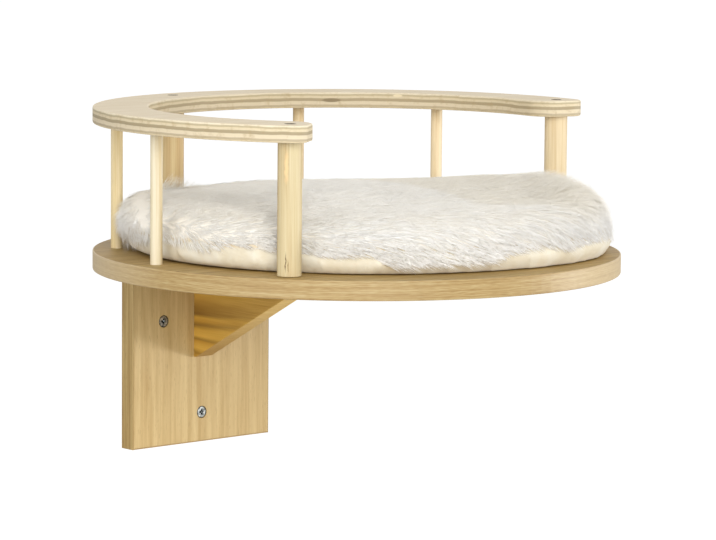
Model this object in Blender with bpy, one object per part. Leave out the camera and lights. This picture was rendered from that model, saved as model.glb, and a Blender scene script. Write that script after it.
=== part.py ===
"""Wall-mounted cat bed: a round board on a wall plate and bracket, a guard rail on posts, and a plush cushion.

Metres, +Z up. The origin is the middle of the wall plate's back face. The wall is the plane Y = 0, and the
bed stands out from it towards -Y.
"""
import math

import bmesh
import bpy
from mathutils import Matrix, Vector

MM = 0.001

# Gaps between pieces: faces that rest on each other, glued strips, and pegs or screws in their holes
SEAT_GAP = 0.3 * MM
GLUE_LINE = 0.1 * MM
HOLE_PLAY = 0.3 * MM

# Round platform and its edge strip
PLATFORM_DIAMETER = 420 * MM
PLATFORM_THICKNESS = 15 * MM
BAND_THICKNESS = 1 * MM
BAND_EASE = 0.7 * MM

# Wall plate
PLATE_WIDTH = 147 * MM
PLATE_HEIGHT = 165 * MM
PLATE_THICKNESS = 15 * MM

# Support bracket: a triangle with a blunt toe under the platform and a short flat at its foot
BRACKET_THICKNESS = 18 * MM
BRACKET_HEIGHT = 92 * MM
BRACKET_DEPTH = 162 * MM
BRACKET_TOE = 8 * MM
BRACKET_FOOT = 3 * MM
BRACKET_EASE = 1 * MM

# Guard rail: a ring of plywood, open at the front, turned a little about the platform's centre
RAIL_CLEARANCE = 101 * MM
RAIL_THICKNESS = 13 * MM
RAIL_WIDTH = 44 * MM
RAIL_TURN = 11.6
RAIL_PAST_POST = 15.5 * MM
RAIL_OUTER_CORNER = 12 * MM
RAIL_INNER_CORNER = 20 * MM
RAIL_EASE = 1.2 * MM

# Posts and dowels, at angles from the back of the rail, on one circle inside the platform's edge
POST_INSET = 19 * MM
POST_DIAMETER = 18.5 * MM
POST_EASE = 0.5 * MM
END_POST_ANGLE = 111.6
DOWEL_DIAMETER = 9.5 * MM
DOWEL_IN_PLATFORM = 8 * MM
DOWEL_IN_RAIL = 7 * MM
REAR_DOWEL_ANGLE = 37.9
FRONT_DOWEL_ANGLE = 73.5

# Countersunk screws
HEAD_SINK = 0.5 * MM
WALL_SCREW_DIAMETER = 5 * MM
WALL_SCREW_HEAD = 10 * MM
WALL_SCREW_LENGTH = 45 * MM
WALL_SCREW_SPACING = 82 * MM
WALL_SCREW_DROP = 60 * MM
WALL_SCREW_RISE = 25 * MM
WOOD_SCREW_DIAMETER = 4 * MM
WOOD_SCREW_HEAD = 8 * MM
RAIL_SCREW_LENGTH = 35 * MM
POST_SCREW_LENGTH = 35 * MM
BRACKET_SCREW_LENGTH = 50 * MM
BRACKET_SCREW_DROPS = (25 * MM, 65 * MM)
PLATFORM_SCREW_LENGTH = 40 * MM
PLATFORM_SCREW_REACHES = (60 * MM, 115 * MM)

# Shares of a screw's head: its straight edge, and the half width, reach and depth of the cross recess
HEAD_LAND = 0.05
RECESS_HALF_WIDTH = 0.07
RECESS_REACH = 0.23
RECESS_DEPTH = 0.25
POINT_SHARE = 1.5

# Cushion: near the posts at the back and sides, drawn out and fuller towards one side of the open front, and
# pressed out to a tight shoulder at the opposite side
CUSHION_MIDDLE = 50 * MM
CUSHION_HEIGHT = 44 * MM
CUSHION_HIGH_SIDE = 56 * MM
CUSHION_HIGH_ANGLE = -120
CUSHION_WIDEST = 18 * MM
CUSHION_SHOULDER = 30 * MM
CUSHION_INSET = 6 * MM
CUSHION_RIM = 4 * MM
CUSHION_DRAW_ANGLE = -144
CUSHION_TIGHT_ANGLE = 38
CUSHION_TIGHT_BULGE = 4 * MM
CUSHION_TIGHT_SHOULDER = 17 * MM
CUSHION_TUCK = 20 * MM
LEAN_POWER = 4

# Dents that the posts press in the cushion's side
POST_PLAY = 3 * MM
DENT_SPREAD = 1.7
DENT_FADE = 8

# Facets
BOARD_SEGMENTS = 128
RAIL_SEGMENTS = 88
CORNER_SEGMENTS = 9
POST_SEGMENTS = 32
SCREW_SEGMENTS = 20
CUSHION_SEGMENTS = 96
CROWN_RINGS = 3
SHOULDER_RINGS = 5
SIDE_RINGS = 4
SHARP_ANGLE = 35
WELD = 0.001 * MM

# Places that follow from the sizes
platform_radius = PLATFORM_DIAMETER / 2
strip = BAND_THICKNESS + GLUE_LINE
post_circle = platform_radius - POST_INSET
underside = PLATE_HEIGHT / 2 + SEAT_GAP
plate_front = -PLATE_THICKNESS
platform_centre = Vector((0, -platform_radius, underside))
deck = PLATFORM_THICKNESS
rail_bottom = deck + RAIL_CLEARANCE
rail_top = rail_bottom + RAIL_THICKNESS


def material(name, colour, roughness, metallic=0.0):
    """A plain Principled material."""
    made = bpy.data.materials.new(name)
    made.use_nodes = True
    shader = made.node_tree.nodes["Principled BSDF"]
    shader.inputs["Base Color"].default_value = (*colour, 1.0)
    shader.inputs["Roughness"].default_value = roughness
    shader.inputs["Metallic"].default_value = metallic
    return made


def datum(name, location, parent=None):
    """An empty that carries the pieces placed from one point."""
    empty = bpy.data.objects.new(name, None)
    empty.location = location
    empty.parent = parent
    bpy.context.scene.collection.objects.link(empty)
    return empty


def hung(name, mesh, parent, location=(0, 0, 0), turn=(0, 0, 0)):
    """An object that shows a mesh, hung on a datum and turned by angles in degrees."""
    solid = bpy.data.objects.new(name, mesh)
    solid.location = location
    solid.rotation_euler = [math.radians(angle) for angle in turn]
    solid.parent = parent
    bpy.context.scene.collection.objects.link(solid)
    return solid


def pieces(shape, finish, parent, places, turn=(0, 0, 0)):
    """One solid for each named place, all of the same mesh."""
    mesh = bpy.data.meshes.new("shape")
    shape.to_mesh(mesh)
    shape.free()
    mesh.materials.append(finish)
    mesh.shade_smooth()
    mesh.set_sharp_from_angle(angle=math.radians(SHARP_ANGLE))
    for name, place in places.items():
        hung(name, mesh, parent, place, turn)


def piece(name, shape, finish, parent, place=(0, 0, 0), turn=(0, 0, 0)):
    """One named solid."""
    pieces(shape, finish, parent, {name: place}, turn)


def turned(profile, segments):
    """A solid of revolution about Z, from (radius, height) points that run down its outer side."""
    shape = bmesh.new()
    points = [shape.verts.new((radius, 0, height)) for radius, height in profile]
    edges = [shape.edges.new(pair) for pair in zip(points, points[1:])]
    bmesh.ops.spin(
        shape, geom=points + edges, cent=(0, 0, 0), axis=(0, 0, 1),
        angle=math.tau, steps=segments, use_merge=True,
    )
    bmesh.ops.remove_doubles(shape, verts=shape.verts, dist=WELD)
    bmesh.ops.recalc_face_normals(shape, faces=shape.faces)
    return shape


def slab(outline, thickness):
    """A board cut to an outline of (x, y) points, from z = 0 up to its thickness."""
    shape = bmesh.new()
    face = shape.faces.new([shape.verts.new((x, y, 0)) for x, y in outline])
    raised = bmesh.ops.extrude_face_region(shape, geom=[face])["geom"]
    corners = [item for item in raised if isinstance(item, bmesh.types.BMVert)]
    bmesh.ops.translate(shape, verts=corners, vec=(0, 0, thickness))
    bmesh.ops.recalc_face_normals(shape, faces=shape.faces)
    return shape


def block(low, high):
    """A box between two opposite corners."""
    outline = [(low[0], low[1]), (high[0], low[1]), (high[0], high[1]), (low[0], high[1])]
    return placed(slab(outline, high[2] - low[2]), Matrix.Translation((0, 0, low[2])))


def placed(shape, matrix):
    """The same bmesh, moved."""
    bmesh.ops.transform(shape, matrix=matrix, verts=shape.verts)
    return shape


def eased(shape, wanted, width):
    """Rounds off the edges that a test picks out."""
    edges = [edge for edge in shape.edges if wanted(edge)]
    bmesh.ops.bevel(
        shape, geom=edges, offset=width, offset_type="OFFSET", segments=2, profile=0.5,
        affect="EDGES", clamp_overlap=True, material=-1,
    )
    return shape


def lies_at(edge, axis, value):
    """Whether both ends of an edge have one coordinate at a value."""
    return all(abs(vert.co[axis] - value) < WELD for vert in edge.verts)


def joined(shapes):
    """Several bmeshes as one, for a set of cutters."""
    whole = bmesh.new()
    for shape in shapes:
        mesh = bpy.data.meshes.new("cutter")
        shape.to_mesh(mesh)
        shape.free()
        whole.from_mesh(mesh)
        bpy.data.meshes.remove(mesh)
    return whole


def carved(shape, cutters):
    """The shape with the cutters taken out of it, by one exact boolean."""
    workpieces = []
    for label, source in (("workpiece", shape), ("cutters", joined(cutters))):
        mesh = bpy.data.meshes.new(label)
        source.to_mesh(mesh)
        source.free()
        workpieces.append(hung(label, mesh, None))
    solid, tool = workpieces
    cut = solid.modifiers.new("holes", "BOOLEAN")
    cut.operation = "DIFFERENCE"
    cut.solver = "EXACT"
    cut.object = tool
    bpy.context.view_layer.update()
    result = bmesh.new()
    result.from_object(solid, bpy.context.evaluated_depsgraph_get())
    for item in workpieces:
        bpy.data.objects.remove(item, do_unlink=True)
    bmesh.ops.remove_doubles(result, verts=result.verts, dist=WELD)
    return result


def screw_levels(diameter, head):
    """How far below its flat top a countersunk head keeps its full width, and where its cone ends."""
    land = head * HEAD_LAND
    return land, land + (head - diameter) / 2


def screw(length, diameter, head):
    """A countersunk screw, point down, its head's flat top at z = 0, with a cross recess."""
    land, cone_end = screw_levels(diameter, head)
    point = diameter * POINT_SHARE
    body = turned([
        (0, 0),
        (head / 2, 0),
        (head / 2, -land),
        (diameter / 2, -cone_end),
        (diameter / 2, point - length),
        (0, -length),
    ], SCREW_SEGMENTS)
    reach = head * RECESS_REACH
    half = head * RECESS_HALF_WIDTH
    depth = head * RECESS_DEPTH
    cross = []
    for quarter in range(4):
        spin = Matrix.Rotation(quarter * math.pi / 2, 2)
        cross += [tuple(spin @ Vector(spot)) for spot in ((half, half), (half, reach), (-half, reach))]
    recess = placed(slab(cross, 2 * depth), Matrix.Translation((0, 0, -depth)))
    return carved(body, [recess])


def screw_hole(length, diameter, head, place):
    """The cutter for a screw's countersink, clearance hole and pilot, open above its head."""
    land, cone_end = screw_levels(diameter, head)
    shank = diameter / 2 + HOLE_PLAY
    mouth = head / 2 + HOLE_PLAY
    over = HEAD_SINK + head / 2
    shape = turned([
        (0, over),
        (mouth, over),
        (mouth, -land),
        (shank, -cone_end),
        (shank, -length - HOLE_PLAY),
        (0, -length - HOLE_PLAY),
    ], SCREW_SEGMENTS)
    return placed(shape, place)


def peg_hole(diameter, low, high, place):
    """The cutter for a plain round hole between two heights."""
    radius = diameter / 2 + HOLE_PLAY
    return placed(turned([(0, high), (radius, high), (radius, low), (0, low)], POST_SEGMENTS), place)


def around(angle, radius, height=0.0):
    """A place at an angle from the back, positive to the left, at a radius from the platform's centre."""
    turn = math.radians(angle)
    return Vector((-radius * math.sin(turn), radius * math.cos(turn), height))


def arc(centre, radius, start, end, steps):
    """Points on a circle between two angles from +X, ends included."""
    points = []
    for step in range(steps + 1):
        angle = math.radians(start + (end - start) * step / steps)
        points.append((centre[0] + radius * math.cos(angle), centre[1] + radius * math.sin(angle)))
    return points


def from_x(point):
    """A plan point's angle from +X, between -90 and 270 degrees."""
    angle = math.degrees(math.atan2(point[1], point[0]))
    return angle if angle > -90 else angle + 360


def facing(direction, location):
    """A placement that points a screw's head along a direction."""
    turn = Vector((0, 0, 1)).rotation_difference(Vector(direction))
    return Matrix.Translation(location) @ turn.to_matrix().to_4x4()


for old in list(bpy.data.objects):
    bpy.data.objects.remove(old, do_unlink=True)

oak = material("oak laminate", (0.61, 0.41, 0.21), 0.45)
oak_strip = material("oak print edge strip", (0.60, 0.41, 0.22), 0.45)
plywood = material("birch plywood", (0.75, 0.63, 0.43), 0.55)
post_wood = material("pine dowel", (0.83, 0.68, 0.42), 0.55)
bracket_wood = material("solid pine", (0.44, 0.27, 0.08), 0.6)
zinc = material("zinc plated steel", (0.55, 0.56, 0.58), 0.35, 1.0)
plush = material("white plush", (0.82, 0.80, 0.75), 0.95)

wall = datum("wall_datum", (0, 0, 0))
bed = datum("platform_datum", platform_centre, wall)

# Post angles in the rail's own frame, and screw places: heads at the plate's front, at the plate's back in
# the wall's frame, and in the platform's top in the platform's frame
posts = {"left": END_POST_ANGLE, "back": 0.0, "right": -END_POST_ANGLE}
dowels = {
    "left_rear": REAR_DOWEL_ANGLE,
    "left_front": FRONT_DOWEL_ANGLE,
    "right_rear": -REAR_DOWEL_ANGLE,
    "right_front": -FRONT_DOWEL_ANGLE,
}
wall_head = plate_front + HEAD_SINK
wall_screws = {
    "wall_screw_left": Vector((-WALL_SCREW_SPACING / 2, wall_head, underside - WALL_SCREW_DROP)),
    "wall_screw_right": Vector((WALL_SCREW_SPACING / 2, wall_head, underside - WALL_SCREW_DROP)),
    "wall_screw_foot": Vector((0, wall_head, WALL_SCREW_RISE - PLATE_HEIGHT / 2)),
}
bracket_screws = {
    f"bracket_screw_{side}": Vector((0, -HEAD_SINK, underside - drop))
    for side, drop in zip(("upper", "lower"), BRACKET_SCREW_DROPS)
}
platform_screws = {
    f"platform_screw_{side}": Vector((0, platform_radius + plate_front - reach, deck - HEAD_SINK))
    for side, reach in zip(("inner", "outer"), PLATFORM_SCREW_REACHES)
}
rail_screws = {
    f"rail_screw_{side}": around(angle + RAIL_TURN, post_circle, rail_top - HEAD_SINK)
    for side, angle in posts.items()
}
post_screws = {
    f"post_screw_{side}": around(angle + RAIL_TURN, post_circle, HEAD_SINK) for side, angle in posts.items()
}
wood_screw = (WOOD_SCREW_DIAMETER, WOOD_SCREW_HEAD)
wall_screw = (WALL_SCREW_DIAMETER, WALL_SCREW_HEAD)
bracket_screw_holes = [
    (BRACKET_SCREW_LENGTH, *wood_screw, facing((0, 1, 0), place)) for place in bracket_screws.values()
]

# Wall plate: a laminated board with its strips at the two sides and the foot
half_width = PLATE_WIDTH / 2
plate_low = -PLATE_HEIGHT / 2
plate_high = PLATE_HEIGHT / 2
plate = block((strip - half_width, plate_front, plate_low + strip), (half_width - strip, 0, plate_high))
plate_cutters = [
    screw_hole(WALL_SCREW_LENGTH, *wall_screw, facing((0, -1, 0), place)) for place in wall_screws.values()
]
plate_cutters += [screw_hole(*hole) for hole in bracket_screw_holes]
piece("wall_plate", carved(plate, plate_cutters), oak, wall)

side_strip = block((-half_width, plate_front, plate_low), (BAND_THICKNESS - half_width, 0, plate_high))
side_strip = eased(
    side_strip, lambda edge: lies_at(edge, 0, -half_width) and lies_at(edge, 1, plate_front), BAND_EASE
)
other_strip = side_strip.copy()
bmesh.ops.scale(other_strip, vec=(-1, 1, 1), verts=other_strip.verts)
bmesh.ops.recalc_face_normals(other_strip, faces=other_strip.faces)
piece("plate_band_left", side_strip, oak_strip, wall)
piece("plate_band_right", other_strip, oak_strip, wall)
foot_strip = block(
    (strip - half_width, plate_front, plate_low), (half_width - strip, 0, plate_low + BAND_THICKNESS)
)
foot_strip = eased(
    foot_strip, lambda edge: lies_at(edge, 2, plate_low) and lies_at(edge, 1, plate_front), BAND_EASE
)
piece("plate_band_foot", foot_strip, oak_strip, wall)

# Support bracket, screwed from the plate's back and from the platform's top
bracket_outline = [
    (0, 0),
    (BRACKET_DEPTH, 0),
    (BRACKET_DEPTH, -BRACKET_TOE),
    (BRACKET_FOOT, -BRACKET_HEIGHT),
    (0, -BRACKET_HEIGHT),
]
stand = Matrix(((0, 0, -1), (-1, 0, 0), (0, 1, 0))).to_4x4()
bracket_corner = Vector((BRACKET_THICKNESS / 2, plate_front - SEAT_GAP, underside - SEAT_GAP))


def bounds_slope(edge):
    """Whether an edge of the flat blank runs along the toe, the sloped face or the foot."""
    clear_of_seats = all(vert.co.x > WELD and vert.co.y < -WELD for vert in edge.verts)
    return clear_of_seats and (lies_at(edge, 2, 0) or lies_at(edge, 2, BRACKET_THICKNESS))


blank = eased(slab(bracket_outline, BRACKET_THICKNESS), bounds_slope, BRACKET_EASE)
bracket = placed(blank, Matrix.Translation(bracket_corner) @ stand)
bracket_cutters = [screw_hole(*hole) for hole in bracket_screw_holes]
bracket_cutters += [
    screw_hole(PLATFORM_SCREW_LENGTH, *wood_screw, Matrix.Translation(platform_centre + place))
    for place in platform_screws.values()
]
piece("support_bracket", carved(bracket, bracket_cutters), bracket_wood, wall)

# Platform: the board, with sockets for the dowels and holes for the screws, and its edge strip
board_radius = platform_radius - strip
board = turned([(0, deck), (board_radius, deck), (board_radius, 0), (0, 0)], BOARD_SEGMENTS)
board_cutters = [
    peg_hole(
        DOWEL_DIAMETER, deck - DOWEL_IN_PLATFORM, deck + SEAT_GAP,
        Matrix.Translation(around(angle + RAIL_TURN, post_circle)),
    )
    for angle in dowels.values()
]
board_cutters += [
    screw_hole(POST_SCREW_LENGTH, *wood_screw, facing((0, 0, -1), place)) for place in post_screws.values()
]
board_cutters += [
    screw_hole(PLATFORM_SCREW_LENGTH, *wood_screw, Matrix.Translation(place))
    for place in platform_screws.values()
]
piece("platform", carved(board, board_cutters), oak, bed)

band_inside = platform_radius - BAND_THICKNESS
band = turned([
    (band_inside, deck),
    (platform_radius, deck),
    (platform_radius, 0),
    (band_inside, 0),
    (band_inside, deck),
], BOARD_SEGMENTS)


def outer_arris(edge):
    """Whether an edge runs round the strip's outside."""
    outside = all(abs(vert.co.xy.length - platform_radius) < WELD for vert in edge.verts)
    return outside and (lies_at(edge, 2, 0) or lies_at(edge, 2, deck))


piece("platform_edge_band", eased(band, outer_arris, BAND_EASE), oak_strip, bed)

# Guard rail: outer and inner arcs joined at each end by a straight cut between two rounded corners
inner_radius = platform_radius - RAIL_WIDTH
rail_end = 90 + END_POST_ANGLE + math.degrees(RAIL_PAST_POST / post_circle)


def rail_corner(ring, corner, side):
    """A rounded corner at the rail's left end, on the outer ring (side 1) or the inner ring (side -1)."""
    middle = ring - side * corner
    back = math.degrees(math.asin(corner / middle))
    centre = (middle * math.cos(math.radians(rail_end - back)), middle * math.sin(math.radians(rail_end - back)))
    along_ring = rail_end - back + (0 if side > 0 else 180)
    return arc(centre, corner, along_ring, rail_end + 90, CORNER_SEGMENTS)


outer_corner = rail_corner(platform_radius, RAIL_OUTER_CORNER, 1)
inner_corner = rail_corner(inner_radius, RAIL_INNER_CORNER, -1)[::-1]
left_end = outer_corner + inner_corner
right_end = [(-x, y) for x, y in reversed(left_end)]
outer_arc = arc((0, 0), platform_radius, from_x(right_end[-1]), from_x(left_end[0]), RAIL_SEGMENTS)
inner_arc = arc((0, 0), inner_radius, from_x(left_end[-1]), from_x(right_end[0]), RAIL_SEGMENTS)
rail_outline = outer_arc[:-1] + left_end[:-1] + inner_arc[:-1] + right_end[:-1]
rail = eased(
    slab(rail_outline, RAIL_THICKNESS),
    lambda edge: lies_at(edge, 2, 0) or lies_at(edge, 2, RAIL_THICKNESS),
    RAIL_EASE,
)
rail_cutters = [
    peg_hole(DOWEL_DIAMETER, -SEAT_GAP, DOWEL_IN_RAIL, Matrix.Translation(around(angle, post_circle)))
    for angle in dowels.values()
]
rail_cutters += [
    screw_hole(
        RAIL_SCREW_LENGTH, *wood_screw,
        Matrix.Translation(around(angle, post_circle, RAIL_THICKNESS - HEAD_SINK)),
    )
    for angle in posts.values()
]
piece("guard_rail", carved(rail, rail_cutters), plywood, bed, (0, 0, rail_bottom), (0, 0, RAIL_TURN))

# Thick posts, drilled at both ends for their screws
post_end = RAIL_CLEARANCE / 2 - SEAT_GAP
post_middle = deck + RAIL_CLEARANCE / 2
post = turned([
    (0, post_end),
    (POST_DIAMETER / 2 - POST_EASE, post_end),
    (POST_DIAMETER / 2, post_end - POST_EASE),
    (POST_DIAMETER / 2, POST_EASE - post_end),
    (POST_DIAMETER / 2 - POST_EASE, -post_end),
    (0, -post_end),
], POST_SEGMENTS)
post_cutters = [
    screw_hole(
        RAIL_SCREW_LENGTH, *wood_screw, Matrix.Translation((0, 0, rail_top - HEAD_SINK - post_middle))
    ),
    screw_hole(POST_SCREW_LENGTH, *wood_screw, facing((0, 0, -1), (0, 0, HEAD_SINK - post_middle))),
]
post_names = {"left": "end_post_left", "back": "back_post", "right": "end_post_right"}
pieces(carved(post, post_cutters), post_wood, bed, {
    post_names[side]: around(angle + RAIL_TURN, post_circle, post_middle) for side, angle in posts.items()
})

# Thin dowels, glued into blind sockets
dowel_low = deck - DOWEL_IN_PLATFORM + SEAT_GAP
dowel_high = rail_bottom + DOWEL_IN_RAIL - SEAT_GAP
dowel_radius = DOWEL_DIAMETER / 2
rod = turned(
    [(0, dowel_high), (dowel_radius, dowel_high), (dowel_radius, dowel_low), (0, dowel_low)], POST_SEGMENTS
)
pieces(rod, post_wood, bed, {
    f"dowel_{side}": around(angle + RAIL_TURN, post_circle) for side, angle in dowels.items()
})

# Screws
pieces(screw(WALL_SCREW_LENGTH, *wall_screw), zinc, wall, wall_screws, (90, 0, 0))
pieces(screw(BRACKET_SCREW_LENGTH, *wood_screw), zinc, wall, bracket_screws, (-90, 0, 0))
pieces(screw(PLATFORM_SCREW_LENGTH, *wood_screw), zinc, bed, platform_screws)
pieces(screw(RAIL_SCREW_LENGTH, *wood_screw), zinc, bed, rail_screws)
pieces(screw(POST_SCREW_LENGTH, *wood_screw), zinc, bed, post_screws, (180, 0, 0))

# Cushion: a soft crowned pad with full shoulders and a tucked base
cushion_radius = post_circle - CUSHION_INSET
cushion_front = platform_radius - CUSHION_RIM
supports = [(angle, POST_DIAMETER) for angle in posts.values()]
supports += [(angle, DOWEL_DIAMETER) for angle in dowels.values()]


def towards(angle, side):
    """How strongly a direction leans to one side, from 0 up to 1."""
    return max(0.0, math.cos(math.radians(angle - side))) ** LEAN_POWER


def dent_at(angle, reach):
    """How far the side is pressed in, so that it clears every post."""
    dent = 0.0
    for support, diameter in supports:
        away = math.radians(angle - support)
        if math.cos(away) > 0:
            spread = DENT_SPREAD * (diameter / 2 + POST_PLAY)
            depth = max(0.0, reach + diameter / 2 + POST_PLAY - post_circle)
            dent = max(dent, depth * math.exp(-(post_circle * math.sin(away) / spread) ** 2))
    return dent


def cushion_section(angle):
    """The cushion's (radius, height) points at one angle, from beside the top's middle down to the base."""
    tight = towards(angle, CUSHION_TIGHT_ANGLE)
    shoulder = CUSHION_SHOULDER + (CUSHION_TIGHT_SHOULDER - CUSHION_SHOULDER) * tight
    reach = cushion_radius + (cushion_front - cushion_radius) * towards(angle, CUSHION_DRAW_ANGLE)
    reach += CUSHION_TIGHT_BULGE * tight
    rim = CUSHION_HEIGHT + (CUSHION_HIGH_SIDE - CUSHION_HEIGHT) * towards(angle, CUSHION_HIGH_ANGLE)
    dent = dent_at(angle, reach)
    tuck = CUSHION_TUCK * (1 - math.cos(math.radians(angle - CUSHION_DRAW_ANGLE))) / 2
    points = []
    for ring in range(1, CROWN_RINGS + 1):
        share = ring / CROWN_RINGS
        points.append(((reach - shoulder) * share, CUSHION_MIDDLE + (rim - CUSHION_MIDDLE) * share ** 2))
    for ring in range(1, SHOULDER_RINGS + 1):
        lean = math.pi / 2 * ring / SHOULDER_RINGS
        out = reach - shoulder * (1 - math.sin(lean))
        height = CUSHION_WIDEST + (rim - CUSHION_WIDEST) * math.cos(lean)
        points.append((out - dent * (out / reach) ** DENT_FADE, height))
    for ring in range(1, SIDE_RINGS + 1):
        lean = math.pi / 2 * ring / SIDE_RINGS
        points.append((reach - max(dent, tuck * (1 - math.cos(lean))), CUSHION_WIDEST * (1 - math.sin(lean))))
    return points


cushion = bmesh.new()
top_middle = cushion.verts.new((0, 0, CUSHION_MIDDLE))
base_middle = cushion.verts.new((0, 0, 0))
columns = []
for step in range(CUSHION_SEGMENTS):
    angle = 360 * step / CUSHION_SEGMENTS
    columns.append([cushion.verts.new(around(angle, *point)) for point in cushion_section(angle)])
for column, neighbour in zip(columns, columns[1:] + columns[:1]):
    cushion.faces.new((top_middle, column[0], neighbour[0]))
    cushion.faces.new((base_middle, neighbour[-1], column[-1]))
    for row in range(len(column) - 1):
        cushion.faces.new((column[row], column[row + 1], neighbour[row + 1], neighbour[row]))
bmesh.ops.recalc_face_normals(cushion, faces=cushion.faces)
piece("cushion", cushion, plush, bed, (0, 0, deck + SEAT_GAP), (0, 0, RAIL_TURN))
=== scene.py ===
"""A wall-mounted cat bed: the finishes of its boards, rods and screws, and its cushion's cover and pile."""

import math

import bmesh
import bpy
import numpy as np
from mathutils import Matrix, Vector, kdtree, noise
from mathutils.bvhtree import BVHTree


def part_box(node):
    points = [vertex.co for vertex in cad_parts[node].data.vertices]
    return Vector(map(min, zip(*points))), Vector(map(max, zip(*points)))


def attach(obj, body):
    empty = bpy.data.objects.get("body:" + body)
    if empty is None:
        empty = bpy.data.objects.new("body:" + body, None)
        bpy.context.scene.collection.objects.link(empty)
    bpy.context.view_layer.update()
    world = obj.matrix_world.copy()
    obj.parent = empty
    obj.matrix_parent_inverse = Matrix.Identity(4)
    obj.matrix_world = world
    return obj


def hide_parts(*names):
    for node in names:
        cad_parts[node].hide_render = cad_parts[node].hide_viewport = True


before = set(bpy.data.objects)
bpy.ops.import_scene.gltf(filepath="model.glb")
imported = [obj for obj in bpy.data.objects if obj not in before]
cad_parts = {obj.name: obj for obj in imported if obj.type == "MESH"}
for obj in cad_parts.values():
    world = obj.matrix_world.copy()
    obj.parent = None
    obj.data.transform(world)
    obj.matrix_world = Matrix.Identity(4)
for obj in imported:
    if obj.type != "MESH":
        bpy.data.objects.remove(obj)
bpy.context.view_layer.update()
MM = 0.001

# Wall plate and the strips glued to its edges. Chipboard faced with oak, its grain upright, cut square; thin
# oak strips with their arrises eased cover its edges. Everything else hangs from this board.


def linear(code):
    """An sRGB hex colour as the linear numbers that a node takes."""
    levels = [int(code[i : i + 2], 16) / 255 for i in (1, 3, 5)]
    return (*[c / 12.92 if c <= 0.04045 else ((c + 0.055) / 1.055) ** 2.4 for c in levels], 1.0)


def add(tree, kind, inputs=None, stops=None, **settings):
    """Adds one node. Inputs are values or outputs to link, by name or place; stops are for a colour ramp."""
    node = tree.nodes.new(kind)
    for name, value in settings.items():
        setattr(node, name, value)
    if stops:
        ramp = node.color_ramp
        while len(ramp.elements) < len(stops):
            ramp.elements.new(1.0)
        for element, (place, colour) in zip(ramp.elements, stops, strict=True):
            element.position, element.color = place, linear(colour)
    for name, value in (inputs or {}).items():
        if isinstance(value, bpy.types.NodeSocket):
            tree.links.new(value, node.inputs[name])
        else:
            node.inputs[name].default_value = value
    return node


def material(name):
    """A new material with its node tree and its shader."""
    made = bpy.data.materials.new(name)
    made.use_nodes = True
    return made, made.node_tree, made.node_tree.nodes["Principled BSDF"]


def dress(finish, *nodes):
    """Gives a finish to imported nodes."""
    for name in nodes:
        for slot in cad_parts[name].material_slots:
            slot.material = finish


def streaks(tree, along, width, length, seed=0.0, detail=3.0, sway=0.0):
    """Wood fibres along one axis, as a level from 0 to 1. Width and length are a streak's, in millimetres.

    Real fibres are finer than 0.1 mm. They are drawn about 1 mm wide so that they show.
    """
    sizes = [1 / (width * MM)] * 3
    sizes[along] = 1 / (length * MM)
    spot = add(tree, "ShaderNodeTexCoord").outputs["Object"]
    place = add(tree, "ShaderNodeMapping", {"Vector": spot, "Location": (seed,) * 3, "Scale": sizes})
    return add(
        tree,
        "ShaderNodeTexNoise",
        {"Vector": place.outputs[0], "Scale": 1.0, "Detail": detail, "Roughness": 0.55, "Distortion": sway},
    ).outputs[0]


def oak(name, along, pale, middle, tan, pore, seed, width):
    """Oak under a satin lacquer: broad streaks of tone, fibres and short dark pores that dent it a little.

    Real pores are about 0.2 mm wide. They are drawn 0.55 mm wide so that they show.
    """
    wood, tree, shader = material(name)
    broad = streaks(tree, along, width, 150.0, seed, sway=0.5)
    fibre = streaks(tree, along, 1.0, 45.0, seed + 3)
    pores = streaks(tree, along, 0.55, 7.0, seed + 7, detail=1.0)
    tone = add(tree, "ShaderNodeMix", {0: 0.28, 2: broad, 3: fibre}, data_type="FLOAT").outputs[0]
    ground = add(
        tree, "ShaderNodeValToRGB", {0: tone}, [(0.36, tan), (0.5, middle), (0.64, pale)]
    ).outputs[0]
    pitted = add(
        tree, "ShaderNodeMapRange", {"Value": pores, "From Min": 0.64, "From Max": 0.74, "To Max": 0.55}
    ).outputs[0]
    colour = add(
        tree, "ShaderNodeMix", {0: pitted, 6: ground, 7: linear(pore)}, data_type="RGBA"
    ).outputs[2]
    tree.links.new(colour, shader.inputs["Base Color"])
    sheen = add(
        tree, "ShaderNodeMapRange", {"Value": fibre, "To Min": 0.42, "To Max": 0.62}
    ).outputs[0]
    tree.links.new(sheen, shader.inputs["Roughness"])
    relief = add(tree, "ShaderNodeMix", {0: pitted, 2: fibre, 3: 0.0}, data_type="FLOAT").outputs[0]
    bump = add(tree, "ShaderNodeBump", {"Strength": 0.25, "Distance": 0.15 * MM, "Height": relief})
    tree.links.new(bump.outputs[0], shader.inputs["Normal"])
    shader.inputs["IOR"].default_value = 1.5
    return wood


# The axis that the grain follows.
X, Y, Z = 0, 1, 2
face_oak = oak(
    "oak faced board, upright grain", Z, "#d5ba82", "#c9ac74", "#bb9b60", "#a1824c", seed=0, width=7.0
)
# The edge strips' oak is painted darker than the face's oak, as the shade on the plate's sides.
shaded_side_oak = oak(
    "oak edge strip, upright grain", Z, "#b89d66", "#a68952", "#927340", "#75582a", seed=5, width=3.0
)
foot_oak = oak(
    "oak edge strip, level grain", X, "#c5a56f", "#b39159", "#9e7c46", "#785929", seed=9, width=3.0
)
dress(face_oak, "wall_plate")
dress(shaded_side_oak, "plate_band_left", "plate_band_right")
dress(foot_oak, "plate_band_foot")

# Support bracket. A thick piece of golden pine under the platform, screwed from behind the plate and from
# above, with its lower front corner sawn off on a slope. Sawn edges are eased and the face shows flame-shaped
# late wood.

pine, tree, shader = material("golden pine, flat sawn")
spot = add(tree, "ShaderNodeTexCoord").outputs["Object"]
low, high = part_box("support_bracket")

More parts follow.
